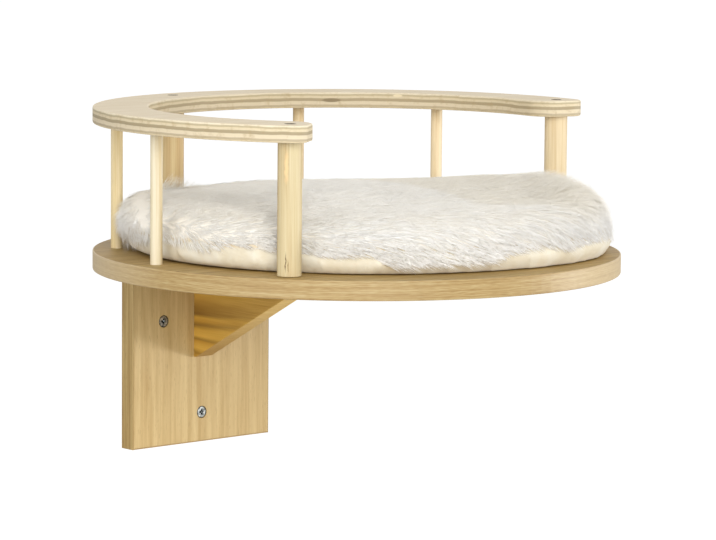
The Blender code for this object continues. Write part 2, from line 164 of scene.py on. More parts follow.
# Growth rings cross the face as level bands, and a drift of up to 9 mm, in patches of the size below, bends
# them into flames.
drift_scale = [1 / (size * MM) for size in (50, 111.1, 29.41)]
place = add(
    tree, "ShaderNodeMapping", {"Vector": spot, "Location": (0, 0.3, 0.07), "Scale": drift_scale}
)
drift = add(
    tree, "ShaderNodeTexNoise", {"Vector": place.outputs[0], "Scale": 1.0, "Detail": 1.5}
).outputs[0]
drift = add(
    tree, "ShaderNodeMapRange", {"Value": drift, "To Min": -9 * MM, "To Max": 9 * MM}
).outputs[0]
height = add(tree, "ShaderNodeSeparateXYZ", {0: spot}).outputs[2]
flames = add(tree, "ShaderNodeMath", {0: height, 1: drift}, operation="ADD").outputs[0]
flames = add(
    tree, "ShaderNodeMapRange", {"Value": flames, "From Min": low.z, "From Max": high.z}
).outputs[0]
rings = add(
    tree,
    "ShaderNodeValToRGB",
    {0: flames},
    [
        (0.0, "#cea041"),
        (0.05, "#976e20"),
        (0.08, "#d6a845"),
        (0.13, "#b7872b"),
        (0.15, "#88631d"),
        (0.19, "#d6a845"),
        (0.26, "#c99b3b"),
        (0.30, "#7e5817"),
        (0.34, "#b7872b"),
        (0.37, "#c99b3b"),
        (0.40, "#785315"),
        (0.45, "#8b621c"),
        (0.50, "#bf913b"),
        (0.60, "#d6a845"),
        (0.68, "#a17320"),
        (0.72, "#c99b3b"),
        (0.85, "#a87b26"),
        (1.0, "#c99b3b"),
    ],
).outputs[0]

# Away from the wall the rings fade into a plain ground of fibres, and the top 32 mm, in the platform's shadow,
# is painted darker as shade.
fibre = streaks(tree, Y, 1.0, 40.0, 2)
ground = add(tree, "ShaderNodeValToRGB", {0: fibre}, [(0.36, "#b78a35"), (0.62, "#cea44c")]).outputs[0]
reach = add(tree, "ShaderNodeSeparateXYZ", {0: spot}).outputs[1]
fading = add(
    tree,
    "ShaderNodeMapRange",
    {"Value": reach, "From Min": -20 * MM, "From Max": -100 * MM, "To Min": 0.12, "To Max": 0.85},
).outputs[0]
colour = add(tree, "ShaderNodeMix", {0: fading, 6: rings, 7: ground}, data_type="RGBA").outputs[2]
# Painted shade under the platform, over the top 32 mm.
painted_shade_under_platform = add(
    tree,
    "ShaderNodeMapRange",
    {"Value": height, "From Min": high.z - 32 * MM, "From Max": high.z, "To Max": 0.5},
).outputs[0]
colour = add(
    tree, "ShaderNodeMix", {0: painted_shade_under_platform, 6: colour, 7: linear("#7d5a22")}, data_type="RGBA"
).outputs[2]

# The slope, which is known by its facing forwards, is a fresh pale cut, painted paler still as the light that
# falls on it, and darker and browner towards the wall.
slant = streaks(tree, X, 2.2, 30.0, 6)
sawn = add(
    tree, "ShaderNodeValToRGB", {0: slant}, [(0.36, "#e9bd64"), (0.5, "#f8cd75"), (0.62, "#ffd882")]
).outputs[0]
normal = add(tree, "ShaderNodeNewGeometry").outputs["Normal"]
facing = add(tree, "ShaderNodeSeparateXYZ", {0: normal}).outputs[1]
sloped = add(
    tree, "ShaderNodeMapRange", {"Value": facing, "From Min": -0.15, "From Max": -0.45}
).outputs[0]
darker_to_wall = add(
    tree,
    "ShaderNodeMapRange",
    {"Value": reach, "From Min": -115 * MM, "From Max": -30 * MM, "To Max": 0.9},
).outputs[0]
# The pale cut with its painted light grows darker and browner towards the wall.
sawn = add(
    tree, "ShaderNodeMix", {0: darker_to_wall, 6: sawn, 7: linear("#ad8444")}, data_type="RGBA"
).outputs[2]
colour = add(tree, "ShaderNodeMix", {0: sloped, 6: colour, 7: sawn}, data_type="RGBA").outputs[2]
tree.links.new(colour, shader.inputs["Base Color"])
shader.inputs["Roughness"].default_value = 0.5
bump = add(tree, "ShaderNodeBump", {"Strength": 0.3, "Distance": 0.2 * MM, "Height": fibre})
tree.links.new(bump.outputs[0], shader.inputs["Normal"])
dress(pine, "support_bracket")

# Platform and its edge strip. The round oak-faced board that carries the bed; a thin strip of oak is bent
# round its edge and trimmed flush, so the rim's grain runs level all the way round.

# The platform's top is painted darker than the plate's face of the same oak, as the shade on a level top.
shaded_board_oak = oak(
    "oak faced board, level grain", X, "#b4995f", "#a48649", "#8f7138", "#6b5122", seed=13, width=3.0
)
dress(shaded_board_oak, "platform")

# The platform's middle, and which way is right, and away from the camera, in the photographed view.
CENTRE = Vector((0, -210 * MM, 0))
VIEW_RIGHT = Vector((0.748, -0.664, 0.0))
VIEW_AWAY = Vector((0.664, 0.748, 0.0))

# The strip's grain is drawn in broad streaks and fine ones, both long and level.
strip, tree, shader = material("oak edge strip, bent round")
spot = add(tree, "ShaderNodeTexCoord").outputs["Object"]
broad_scale = [1 / (size * MM) for size in (111.1, 111.1, 1.111)]
fine_scale = [1 / (size * MM) for size in (8.333, 8.333, 0.5556)]
place = add(tree, "ShaderNodeMapping", {"Vector": spot, "Scale": broad_scale})
broad = add(
    tree, "ShaderNodeTexNoise", {"Vector": place.outputs[0], "Scale": 1.0, "Detail": 3.0, "Roughness": 0.6}
).outputs[0]
place = add(tree, "ShaderNodeMapping", {"Vector": spot, "Scale": fine_scale})
fine = add(
    tree, "ShaderNodeTexNoise", {"Vector": place.outputs[0], "Scale": 1.0, "Detail": 1.0}
).outputs[0]
tone = add(tree, "ShaderNodeMix", {0: 0.4, 2: broad, 3: fine}, data_type="FLOAT").outputs[0]
colour = add(
    tree,
    "ShaderNodeValToRGB",
    {0: tone},
    [(0.34, "#927545"), (0.47, "#a58957"), (0.56, "#af9665"), (0.66, "#b9a477")],
).outputs[0]

# Painted sheen: the strip is painted paler towards its left and right ends in the view, where it turns away at
# a grazing angle.
grazing_sheen = add(
    tree, "ShaderNodeVectorMath", {0: spot, 1: VIEW_RIGHT}, operation="DOT_PRODUCT"
).outputs["Value"]
grazing_sheen = add(tree, "ShaderNodeMath", {0: grazing_sheen, 1: CENTRE.dot(VIEW_RIGHT)}, operation="SUBTRACT").outputs[0]
grazing_sheen = add(tree, "ShaderNodeMath", {0: grazing_sheen}, operation="ABSOLUTE").outputs[0]
grazing_sheen = add(
    tree, "ShaderNodeMapRange", {"Value": grazing_sheen, "From Min": 145 * MM, "From Max": 205 * MM, "To Max": 0.5}
).outputs[0]
colour = add(
    tree, "ShaderNodeMix", {0: grazing_sheen, 6: colour, 7: linear("#dfcba6")}, data_type="RGBA"
).outputs[2]
tree.links.new(colour, shader.inputs["Base Color"])
shader.inputs["Roughness"].default_value = 0.45
bump = add(tree, "ShaderNodeBump", {"Strength": 0.25, "Distance": 0.15 * MM, "Height": fine})
tree.links.new(bump.outputs[0], shader.inputs["Normal"])
dress(strip, "platform_edge_band")

# Guard rail. An open ring cut from seven-layer birch plywood and sanded: pale face veneer above and below,
# and on every cut edge the layers show as light lines and darker end grain with brown smudges where the glue
# lies.

ply, tree, shader = material("birch plywood, sanded")
low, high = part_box("guard_rail")
spot = add(tree, "ShaderNodeTexCoord").outputs["Object"]
height = add(tree, "ShaderNodeSeparateXYZ", {0: spot}).outputs[2]
blotch = add(
    tree, "ShaderNodeTexNoise", {"Vector": spot, "Scale": 1 / (22.22 * MM), "Detail": 4.0}
).outputs[0]
wander = add(
    tree, "ShaderNodeMapRange", {"Value": blotch, "To Min": -0.9 * MM, "To Max": 0.9 * MM}
).outputs[0]
level = add(tree, "ShaderNodeMath", {0: height, 1: wander}, operation="ADD").outputs[0]
level = add(
    tree, "ShaderNodeMapRange", {"Value": level, "From Min": low.z, "From Max": high.z}
).outputs[0]
face_grain = streaks(tree, X, 1.6, 70.0, 4)
face = add(
    tree, "ShaderNodeValToRGB", {0: face_grain}, [(0.35, "#d9c7a5"), (0.5, "#e2d2b5"), (0.65, "#e8dbc1")]
).outputs[0]
layers = add(
    tree,
    "ShaderNodeValToRGB",
    {0: level},
    [
        (0.0, "#ddcda8"),
        (0.08, "#dac9a4"),
        (0.10, "#b1a183"),
        (0.21, "#b7a88b"),
        (0.23, "#d7c8aa"),
        (0.43, "#d4c5a6"),
        (0.46, "#9f9072"),
        (0.62, "#a79877"),
        (0.65, "#d7c8a8"),
        (0.78, "#d3c3a0"),
        (0.80, "#b4a584"),
        (0.89, "#baad8f"),
        (0.91, "#ddd0b0"),
        (1.0, "#e2d9c3"),
    ],
).outputs[0]
smudge = add(
    tree,
    "ShaderNodeTexNoise",
    {"Vector": spot, "Scale": 1 / (6.667 * MM), "Detail": 5.0, "Roughness": 0.7},
).outputs[0]
smudge = add(
    tree, "ShaderNodeMapRange", {"Value": smudge, "From Min": 0.52, "From Max": 0.75, "To Max": 0.6}
).outputs[0]
edge = add(
    tree, "ShaderNodeMix", {0: smudge, 6: layers, 7: linear("#a58d62")}, data_type="RGBA"
).outputs[2]

# A knot in one inner layer and a short patch let into another, both on the far side's inner edge. Sizes are
# in millimetres: right of the middle, below the rail's top, and half the length and height.
for to_the_right, below_top, half_length, half_height, stain in (
    (-22.5, 6.6, 9.0, 1.9, "#7d6d4f"),
    (33.0, 2.3, 4.5, 1.3, "#e6d6b2"),
):
    knot = CENTRE + VIEW_RIGHT * (to_the_right * MM) + Vector((0, 0, high.z - below_top * MM))
    off = add(tree, "ShaderNodeVectorMath", {0: spot, 1: knot}, operation="SUBTRACT").outputs[0]
    sideways = add(
        tree, "ShaderNodeVectorMath", {0: off, 1: VIEW_RIGHT}, operation="DOT_PRODUCT"
    ).outputs["Value"]
    sideways = add(
        tree, "ShaderNodeMath", {0: sideways, 1: half_length * MM}, operation="DIVIDE"
    ).outputs[0]
    rise = add(tree, "ShaderNodeSeparateXYZ", {0: off}).outputs[2]
    rise = add(tree, "ShaderNodeMath", {0: rise, 1: half_height * MM}, operation="DIVIDE").outputs[0]
    spread = add(tree, "ShaderNodeCombineXYZ", {0: sideways, 2: rise}).outputs[0]
    spread = add(tree, "ShaderNodeVectorMath", {0: spread}, operation="LENGTH").outputs["Value"]
    inside = add(tree, "ShaderNodeMapRange", {"Value": spread, "From Min": 1.0, "From Max": 0.7}).outputs[0]
    edge = add(tree, "ShaderNodeMix", {0: inside, 6: edge, 7: linear(stain)}, data_type="RGBA").outputs[2]

# The ring's inner edge is a little browner than its outer edge.
from_middle = add(tree, "ShaderNodeVectorMath", {0: spot, 1: CENTRE}, operation="SUBTRACT").outputs[0]
from_middle = add(
    tree, "ShaderNodeVectorMath", {0: from_middle, 1: (1, 1, 0)}, operation="MULTIPLY"
).outputs[0]
from_middle = add(tree, "ShaderNodeVectorMath", {0: from_middle}, operation="LENGTH").outputs["Value"]
inner = add(
    tree,
    "ShaderNodeMapRange",
    {"Value": from_middle, "From Min": 180 * MM, "From Max": 170 * MM, "To Max": 0.22},
).outputs[0]
edge = add(tree, "ShaderNodeMix", {0: inner, 6: edge, 7: linear("#9a8560")}, data_type="RGBA").outputs[2]

# The veneer shows where the surface lies flat, and the layers where it stands upright.
normal = add(tree, "ShaderNodeNewGeometry").outputs["Normal"]
flat = add(tree, "ShaderNodeSeparateXYZ", {0: normal}).outputs[2]
flat = add(tree, "ShaderNodeMath", {0: flat}, operation="ABSOLUTE").outputs[0]
flat = add(tree, "ShaderNodeMapRange", {"Value": flat, "From Min": 0.55, "From Max": 0.85}).outputs[0]
colour = add(tree, "ShaderNodeMix", {0: flat, 6: edge, 7: face}, data_type="RGBA").outputs[2]

# The countersinks' walls, out to 0.35 mm past the screw's head, are painted dark as the shade in the recess.
for name in ("rail_screw_left", "rail_screw_back", "rail_screw_right"):
    low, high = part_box(name)
    off = add(
        tree, "ShaderNodeVectorMath", {0: spot, 1: (low + high) / 2}, operation="SUBTRACT"
    ).outputs[0]
    off = add(tree, "ShaderNodeVectorMath", {0: off, 1: (1, 1, 0)}, operation="MULTIPLY").outputs[0]
    off = add(tree, "ShaderNodeVectorMath", {0: off}, operation="LENGTH").outputs["Value"]
    rim = (high.x - low.x) / 2 + 0.35 * MM
    inside = add(
        tree, "ShaderNodeMapRange", {"Value": off, "From Min": rim + 0.3 * MM, "From Max": rim}
    ).outputs[0]
    colour = add(
        tree, "ShaderNodeMix", {0: inside, 6: colour, 7: linear("#4a3c28")}, data_type="RGBA"
    ).outputs[2]
tree.links.new(colour, shader.inputs["Base Color"])
shader.inputs["Roughness"].default_value = 0.6
bump = add(tree, "ShaderNodeBump", {"Strength": 0.3, "Distance": 0.15 * MM, "Height": face_grain})
tree.links.new(bump.outputs[0], shader.inputs["Normal"])
dress(ply, "guard_rail")

# Posts and dowels. Turned pine rods, sanded and left unlacquered; three carry a screw through the rail and
# the others are glued into blind holes. Their tones differ from one to another, the back post's the darkest.


def rod(name, pale, middle, dark, seed):
    """Turned pine: growth rings cut lengthwise, which show as upright streaks of uneven width."""
    wood, tree, shader = material(name)
    broad = streaks(tree, Z, 5.0, 260.0, seed)
    fibre = streaks(tree, Z, 0.9, 50.0, seed + 3)
    tone = add(tree, "ShaderNodeMix", {0: 0.35, 2: broad, 3: fibre}, data_type="FLOAT").outputs[0]
    colour = add(
        tree, "ShaderNodeValToRGB", {0: tone}, [(0.36, dark), (0.48, middle), (0.6, pale)]
    ).outputs[0]
    tree.links.new(colour, shader.inputs["Base Color"])
    shader.inputs["Roughness"].default_value = 0.55
    bump = add(tree, "ShaderNodeBump", {"Strength": 0.25, "Distance": 0.15 * MM, "Height": fibre})
    tree.links.new(bump.outputs[0], shader.inputs["Normal"])
    return wood, tree, shader


for number, (node, pale, middle, dark) in enumerate(
    [
        ("dowel_left_front", "#dfd4b9", "#d7caaa", "#ceba90"),
        ("dowel_left_rear", "#e5d2a8", "#d9c390", "#cbad73"),
        ("dowel_right_front", "#ead7b2", "#e1caa1", "#d1b281"),
        ("dowel_right_rear", "#e6d2ad", "#dcc59a", "#cdae7c"),
        ("back_post", "#ceb887", "#c2a675", "#b1905b"),
        ("end_post_right", "#dfcca8", "#d6c199", "#c8ac7f"),
        ("end_post_left", "#d0c29b", "#c7b58b", "#b8a072"),
    ]
):
    wood, tree, shader = rod(f"turned pine, {node}", pale, middle, dark, 11 * number)
    dress(wood, node)

# The left end post, the last of these, has a pale scar near its top and two dark splits near its foot. Each
# is an uneven spot on its front. Sizes are in millimetres: right of its middle, above its foot, half width
# and length.
POST_RADIUS = 9 * MM
SCAR_DEPTH = 8 * MM
low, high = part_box("end_post_left")
front = Vector(((low.x + high.x) / 2, (low.y + high.y) / 2, 0)) - VIEW_AWAY * POST_RADIUS
spot = add(tree, "ShaderNodeTexCoord").outputs["Object"]
shake = add(
    tree, "ShaderNodeTexNoise", {"Vector": spot, "Scale": 1 / (3.846 * MM), "Detail": 2.0}
).outputs[0]
shake = add(
    tree, "ShaderNodeMapRange", {"Value": shake, "To Min": -1.2 * MM, "To Max": 1.2 * MM}
).outputs[0]
colour = shader.inputs["Base Color"].links[0].from_socket
for to_the_right, above_foot, half_width, half_length, stain in (
    (-2.4, 82.0, 1.5, 11.0, "#dfc08c"),
    (-2.6, 11.0, 0.4, 7.0, "#67512c"),
    (-0.8, 8.0, 0.35, 5.0, "#8d7546"),
):
    mark = front + VIEW_RIGHT * to_the_right * MM + Vector((0, 0, low.z + above_foot * MM))
    off = add(tree, "ShaderNodeVectorMath", {0: spot, 1: mark}, operation="SUBTRACT").outputs[0]
    wide = add(
        tree, "ShaderNodeVectorMath", {0: off, 1: VIEW_RIGHT}, operation="DOT_PRODUCT"
    ).outputs["Value"]
    wide = add(tree, "ShaderNodeMath", {0: wide, 1: shake}, operation="ADD").outputs[0]
    wide = add(tree, "ShaderNodeMath", {0: wide, 1: half_width * MM}, operation="DIVIDE").outputs[0]
    deep = add(
        tree, "ShaderNodeVectorMath", {0: off, 1: VIEW_AWAY}, operation="DOT_PRODUCT"
    ).outputs["Value"]
    deep = add(tree, "ShaderNodeMath", {0: deep, 1: SCAR_DEPTH}, operation="DIVIDE").outputs[0]
    rise = add(tree, "ShaderNodeSeparateXYZ", {0: off}).outputs[2]
    rise = add(tree, "ShaderNodeMath", {0: rise, 1: half_length * MM}, operation="DIVIDE").outputs[0]
    off = add(tree, "ShaderNodeCombineXYZ", {0: wide, 1: deep, 2: rise}).outputs[0]
    off = add(tree, "ShaderNodeVectorMath", {0: off}, operation="LENGTH").outputs["Value"]
    inside = add(tree, "ShaderNodeMapRange", {"Value": off, "From Min": 1.3, "From Max": 0.5}).outputs[0]
    colour = add(tree, "ShaderNodeMix", {0: inside, 6: colour, 7: linear(stain)}, data_type="RGBA").outputs[2]
tree.links.new(colour, shader.inputs["Base Color"])

# Screws. Steel countersunk wood screws, zinc plated, with a cross recess pressed in the head. Plating leaves
# a bluish silver with faint cloudy marks, painted in strong contrast to stand in for reflections, and the
# recess and the rim of the head are painted dark as shade, with some dirt.


def zinc(name, axis):
    """Zinc plate on one screw: cloudy silver with painted reflections, and dirt and painted shade in the recess
    and at the rim of the head.
    """
    steel, tree, shader = material(f"zinc plated steel, {name}")
    low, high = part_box(name)
    across_axis = [1.0, 1.0, 1.0]
    across_axis[axis] = 0.0
    spot = add(tree, "ShaderNodeTexCoord").outputs["Object"]
    away = add(
        tree, "ShaderNodeVectorMath", {0: spot, 1: (low + high) / 2}, operation="SUBTRACT"
    ).outputs[0]
    away = add(tree, "ShaderNodeVectorMath", {0: away, 1: across_axis}, operation="MULTIPLY").outputs[0]
    far = add(tree, "ShaderNodeVectorMath", {0: away}, operation="LENGTH").outputs["Value"]
    head = max(high[i] - low[i] for i in range(3) if i != axis) / 2
    far = add(tree, "ShaderNodeMapRange", {"Value": far, "From Max": head}).outputs[0]
    # Dirt and painted shade: dark in the recess and at the rim of the head.
    dirt_and_shade = add(
        tree,
        "ShaderNodeValToRGB",
        {0: far},
        [
            (0.0, "#2f2d29"),
            (0.24, "#4a4945"),
            (0.38, "#ffffff"),
            (0.8, "#e6e4de"),
            (0.93, "#6a675d"),
            (1.0, "#47443b"),
        ],
    ).outputs[0]
    # Cloudy plating marks, drawn in strong contrast as painted reflections.
    cloud_and_glints = add(
        tree, "ShaderNodeTexNoise", {"Vector": spot, "Scale": 1 / (2.381 * MM), "Detail": 4.0}
    ).outputs[0]
    colour = add(
        tree, "ShaderNodeValToRGB", {0: cloud_and_glints}, [(0.36, "#6c706f"), (0.5, "#a5a9a8"), (0.62, "#dddfdc")]
    ).outputs[0]
    shades = [dirt_and_shade]
    if name.startswith("rail_"):
        # The rail's screws lie deep in countersinks, and their heads are painted dark as the shade there.
        shades.append(linear("#403e39"))
    for shade in shades:
        colour = add(
            tree, "ShaderNodeMix", {0: 1.0, 6: colour, 7: shade}, data_type="RGBA", blend_type="MULTIPLY"
        ).outputs[2]
    tree.links.new(colour, shader.inputs["Base Color"])
    shader.inputs["Metallic"].default_value = 1.0
    rough = add(tree, "ShaderNodeMapRange", {"Value": cloud_and_glints, "To Min": 0.22, "To Max": 0.42}).outputs[0]
    tree.links.new(rough, shader.inputs["Roughness"])
    return steel


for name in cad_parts:
    if "_screw_" in name:
        low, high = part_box(name)
        axis = max(range(3), key=lambda i: high[i] - low[i])
        dress(zinc(name, axis), name)

# Cushion. A stuffed round pad that pushes out between the posts: cream woven cover below, and above it a
# white long-haired plush whose pile is combed to one side and hangs over the rim. It is loose and lifts off.

CUSHION_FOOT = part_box("cushion")[0].z
POST_ROOM = 0.8 * MM
post_places = []
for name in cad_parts:
    if name.startswith(("dowel_", "end_post_", "back_post")):
        low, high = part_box(name)
        post_places.append(((low.x + high.x) / 2, (low.y + high.y) / 2, (high.x - low.x) / 2))


def clear_of_posts(points, room):
    """Moves points that are in a post, or nearer than room, straight out of it."""
    for x, y, radius in post_places:
        away = points[:, :2] - (x, y)
        far = np.maximum(np.linalg.norm(away, axis=1), 1e-9)
        near = far < radius + room
        points[near, :2] = (x, y) + away[near] / far[near, None] * (radius + room)
    return points


def apply_modifiers(piece):
    """Turns what a piece's modifiers make into its own mesh."""
    graph = bpy.context.evaluated_depsgraph_get()
    made = bpy.data.meshes.new_from_object(piece.evaluated_get(graph))
    piece.modifiers.clear()
    piece.data = made


def places_of(piece):
    """A mesh's vertices as an array."""
    found = np.empty(len(piece.data.vertices) * 3)
    piece.data.vertices.foreach_get("co", found)
    return found.reshape(-1, 3)


def put_places(piece, points):
    """Writes an array back to a mesh's vertices."""
    piece.data.vertices.foreach_set("co", points.ravel())
    piece.data.update()


def climb(value, start, run):
    """A level that goes from 0 at the start to 1 a run further on."""
    return np.clip((value - start) / run, 0, 1)


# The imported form, made a little smaller and of even cloth, is blown up by the stuffing by up to 4 mm.
SHRUNK = (0.975, 0.975, 0.9)
CLOTH_SIZE = 5 * MM
CLOTH_FRAMES = 20
STUFFING_CAP = 4 * MM
cushion = bpy.data.objects.new("cushion_body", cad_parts["cushion"].data.copy())
bpy.context.scene.collection.objects.link(cushion)
cushion.data.materials.clear()
shape = bmesh.new()
shape.from_mesh(cushion.data)
bmesh.ops.remove_doubles(shape, verts=shape.verts, dist=0.01 * MM)
bmesh.ops.recalc_face_normals(shape, faces=shape.faces)
outer = BVHTree.FromBMesh(shape)
foot_middle = CENTRE + Vector((0, 0, CUSHION_FOOT))
bmesh.ops.scale(shape, vec=SHRUNK, verts=shape.verts, space=Matrix.Translation(-foot_middle))
shape.to_mesh(cushion.data)
shape.free()

remesh = cushion.modifiers.new("even cloth", "REMESH")
remesh.mode, remesh.voxel_size = "VOXEL", CLOTH_SIZE
apply_modifiers(cushion)
before = places_of(cushion)
cloth = cushion.modifiers.new("stuffed cover", "CLOTH")
cloth.settings.use_pressure = True
cloth.settings.uniform_pressure_force = 4.0
cloth.settings.effector_weights.gravity = 0.0
for step in range(1, CLOTH_FRAMES + 1):
    bpy.context.scene.frame_set(step)
apply_modifiers(cushion)
bpy.context.scene.frame_set(1)
after = places_of(cushion)
move = after - before
length = np.maximum(np.linalg.norm(move, axis=1), 1e-9)
after = before + move * np.minimum(1, STUFFING_CAP / length)[:, None]

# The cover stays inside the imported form, at least shallow and at most deep. The underside and the bare band
# at the foot all but fill the form, and the pile fills the room above them. At the left end the stuffing
# swells the cover out past the dowel.
BARE_BAND = 13 * MM
for i, p in enumerate(after):
    near, normal, _, _ = outer.find_nearest(Vector(p))
    height = p[2] - CUSHION_FOOT
    if normal.z < -0.6:
        deep, shallow = 0.4 * MM, 0.0
    elif height < BARE_BAND:
        under = max(0.0, 1 - height / (4 * MM))
        deep, shallow = (1.8 + 2.4 * under) * MM, (0.8 + 2.6 * under) * MM
    else:
        deep, shallow = 4.6 * MM, 3.2 * MM
    left = -(Vector(p) - CENTRE).dot(VIEW_RIGHT)
    swell = climb(left, 150 * MM, 25 * MM) * climb(height, 12 * MM, 12 * MM)
    swell *= climb(-height, -60 * MM, 24 * MM)
    deep, shallow = deep - 5.8 * MM * swell, shallow - 4.6 * MM * swell
    inside = (near - Vector(p)).dot(normal)
    after[i] = near - normal * min(max(inside, shallow), deep)
after = clear_of_posts(after, POST_ROOM)
after[:, 2] = np.maximum(after[:, 2], CUSHION_FOOT + 0.05 * MM)
put_places(cushion, after)
cushion.modifiers.new("smooth cover", "SUBSURF").levels = 1
cushion.modifiers[-1].render_levels = 1
apply_modifiers(cushion)
cushion.data.shade_smooth()

# Cotton gives the bare band a matt, slubby beige. Its threads are about 0.5 mm apart, and are drawn at 1.1 mm
# so that they show. From the hem up, which waves by 4 mm, the cloth is the white backing of the plush.
cover, tree, shader = material("woven cream cotton cover")
spot = add(tree, "ShaderNodeTexCoord").outputs["Object"]
slub = add(
    tree, "ShaderNodeTexNoise", {"Vector": spot, "Scale": 1 / (16.67 * MM), "Detail": 4.0}
).outputs[0]
weave = add(tree, "ShaderNodeTexVoronoi", {"Vector": spot, "Scale": 1 / (1.111 * MM)}).outputs[0]
colour = add(
    tree, "ShaderNodeValToRGB", {0: slub}, [(0.35, "#d8ceb5"), (0.5, "#dfd7c2"), (0.65, "#e3decd")]
).outputs[0]
height = add(tree, "ShaderNodeSeparateXYZ", {0: spot}).outputs[2]
wavy = add(
    tree, "ShaderNodeTexNoise", {"Vector": spot, "Scale": 1 / (35.71 * MM), "Detail": 2.0}
).outputs[0]
wavy = add(tree, "ShaderNodeMapRange", {"Value": wavy, "To Min": -4 * MM, "To Max": 4 * MM}).outputs[0]
height = add(tree, "ShaderNodeMath", {0: height, 1: wavy}, operation="ADD").outputs[0]
hem_low, hem_high = CUSHION_FOOT + 17 * MM, CUSHION_FOOT + 23 * MM
backing = add(
    tree, "ShaderNodeMapRange", {"Value": height, "From Min": hem_low, "From Max": hem_high}
).outputs[0]
# A faint darker line is painted where the plush's edge folds over the band, as the shade in that fold.
painted_fold_shade = add(
    tree,
    "ShaderNodeValToRGB",
    {0: backing},
    [(0.0, "#ffffff"), (0.3, "#f1e7d5"), (0.5, "#f4ecde"), (0.8, "#ffffff")],
).outputs[0]
colour = add(
    tree, "ShaderNodeMix", {0: backing, 6: colour, 7: linear("#f4eee2")}, data_type="RGBA"
).outputs[2]
colour = add(
    tree, "ShaderNodeMix", {0: 1.0, 6: colour, 7: painted_fold_shade}, data_type="RGBA", blend_type="MULTIPLY"
).outputs[2]
tree.links.new(colour, shader.inputs["Base Color"])
shader.inputs["Roughness"].default_value = 0.9
shader.inputs["Sheen Weight"].default_value = 0.2
bump = add(tree, "ShaderNodeBump", {"Strength": 0.4, "Distance": 0.3 * MM, "Height": weave})
tree.links.new(bump.outputs[0], shader.inputs["Normal"])
cushion.data.materials.append(cover)
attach(cushion, "cushion")
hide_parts("cushion")

# The pile. Long acrylic hairs, thickest at the root and drawn to a point, lying in tufts that follow the
# comb. Each hair is a slim three-sided spike, drawn a little wider than a real hair so that it shows.

rng = np.random.default_rng(7)
HAIRS = 60000
GUIDES = 5200
STEPS = 4
to_right = np.array(VIEW_RIGHT)
to_away = np.array(VIEW_AWAY)

cushion.data.calc_loop_triangles()
corners = np.empty(len(cushion.data.loop_triangles) * 3, np.int32)
cushion.data.loop_triangles.foreach_get("vertices", corners)
corners = corners.reshape(-1, 3)
skin = places_of(cushion)
flank = np.cross(skin[corners[:, 1]] - skin[corners[:, 0]], skin[corners[:, 2]] - skin[corners[:, 0]])
area = np.linalg.norm(flank, axis=1)
skin_tree = BVHTree.FromPolygons([tuple(p) for p in skin], [tuple(map(int, c)) for c in corners])
soft_normals = np.empty(len(cushion.data.vertices) * 3, np.float32)
cushion.data.vertices.foreach_get("normal", soft_normals)
soft_normals = soft_normals.reshape(-1, 3).astype(float)


def across(points):
    """How far a point lies to the right and away in the photographed view, from the cushion's middle."""
    flat = points - np.array(CENTRE)
    return flat @ to_right, flat @ to_away


def fall(value, place, width):
    """A soft step from 1 down to 0, with its place and its width in millimetres."""
    return 1 / (1 + np.exp((value - place * MM) / (width * MM)))


def hem(points):
    """How high above the platform the pile's roots begin. The cream cover shows under it in three places."""
    right, _ = across(points)
    wave = 1.5 * np.sin(right / (17 * MM)) + np.sin(right / (7.3 * MM) + 1.7)
    bare = (fall(right, 12, 5) + fall(-right, -98, 5)) * fall(-right, 174, 5)
    left_end = 2 * fall(right, -105, 12)
    return (6 + (11 + left_end) * bare + wave) * MM


def scattered(count):
    """Points spread evenly over the part of the cushion that has pile, with the normals there."""
    facing_up = flank[:, 2] / np.maximum(area, 1e-12)
    share = area * np.where(facing_up > -0.35, 1.6 - 0.6 * np.clip(facing_up, 0, 1), 0.0)
    spots, ways = [], []
    found = 0
    while found < count:
        face = rng.choice(len(corners), count, p=share / share.sum())
        a, b = np.sqrt(rng.random(count)), rng.random(count)
        mix = np.stack([1 - a, a * (1 - b), a * b], 1)
        points = (skin[corners[face]] * mix[:, :, None]).sum(1)
        normals = (soft_normals[corners[face]] * mix[:, :, None]).sum(1)
        kept = points[:, 2] > CUSHION_FOOT + hem(points)
        spots.append(points[kept])
        ways.append(normals[kept])
        found += kept.sum()
    spots, ways = np.concatenate(spots)[:count], np.concatenate(ways)[:count]
    return spots, ways / np.linalg.norm(ways, axis=1)[:, None]


def unit(vectors):
    """Vectors made one long."""
    return vectors / np.maximum(np.linalg.norm(vectors, axis=-1), 1e-12)[..., None]


# Locks part from each other every 45 mm or so, and the hairs in a lock every 14 mm or so. Without a seed of its
# own the noise would differ from run to run.
noise.seed_set(7)
LOCKS_PER_METRE = 22
RIPPLES_PER_METRE = 70
roots, normals = scattered(GUIDES)
right, away = across(roots)
height = (roots[:, 2] - CUSHION_FOOT) / MM
flutter = np.array([noise.noise_vector(Vector(p) * LOCKS_PER_METRE) for p in roots])
ripple = np.array([noise.noise_vector(Vector(p) * RIPPLES_PER_METRE + Vector((5, 5, 5))) for p in roots])
steep = np.clip(1 - normals[:, 2], 0, 1)

# Where the comb left the pile otherwise, each as a share from 0 to 1: the left half, the right end, the
# fluffy left end, the wisps low on it, the tuft beside the back post, and the crest at the right.
left_share = climb(-right, 70 * MM, 70 * MM)
right_share = climb(right, 150 * MM, 30 * MM)
tuft = np.exp(-((right + 151 * MM) ** 2 + (away - 55 * MM) ** 2) / (10 * MM) ** 2)
fluff = climb(-right, 152 * MM, 30 * MM) * climb(height, 16, 16) * (1 - tuft)
wisp = climb(-right, 172 * MM, 8 * MM) * climb(-height, -34, 10)
crest = np.exp(-(((right - 150 * MM) / (30 * MM)) ** 2)) * climb(away, -60 * MM, 40 * MM)

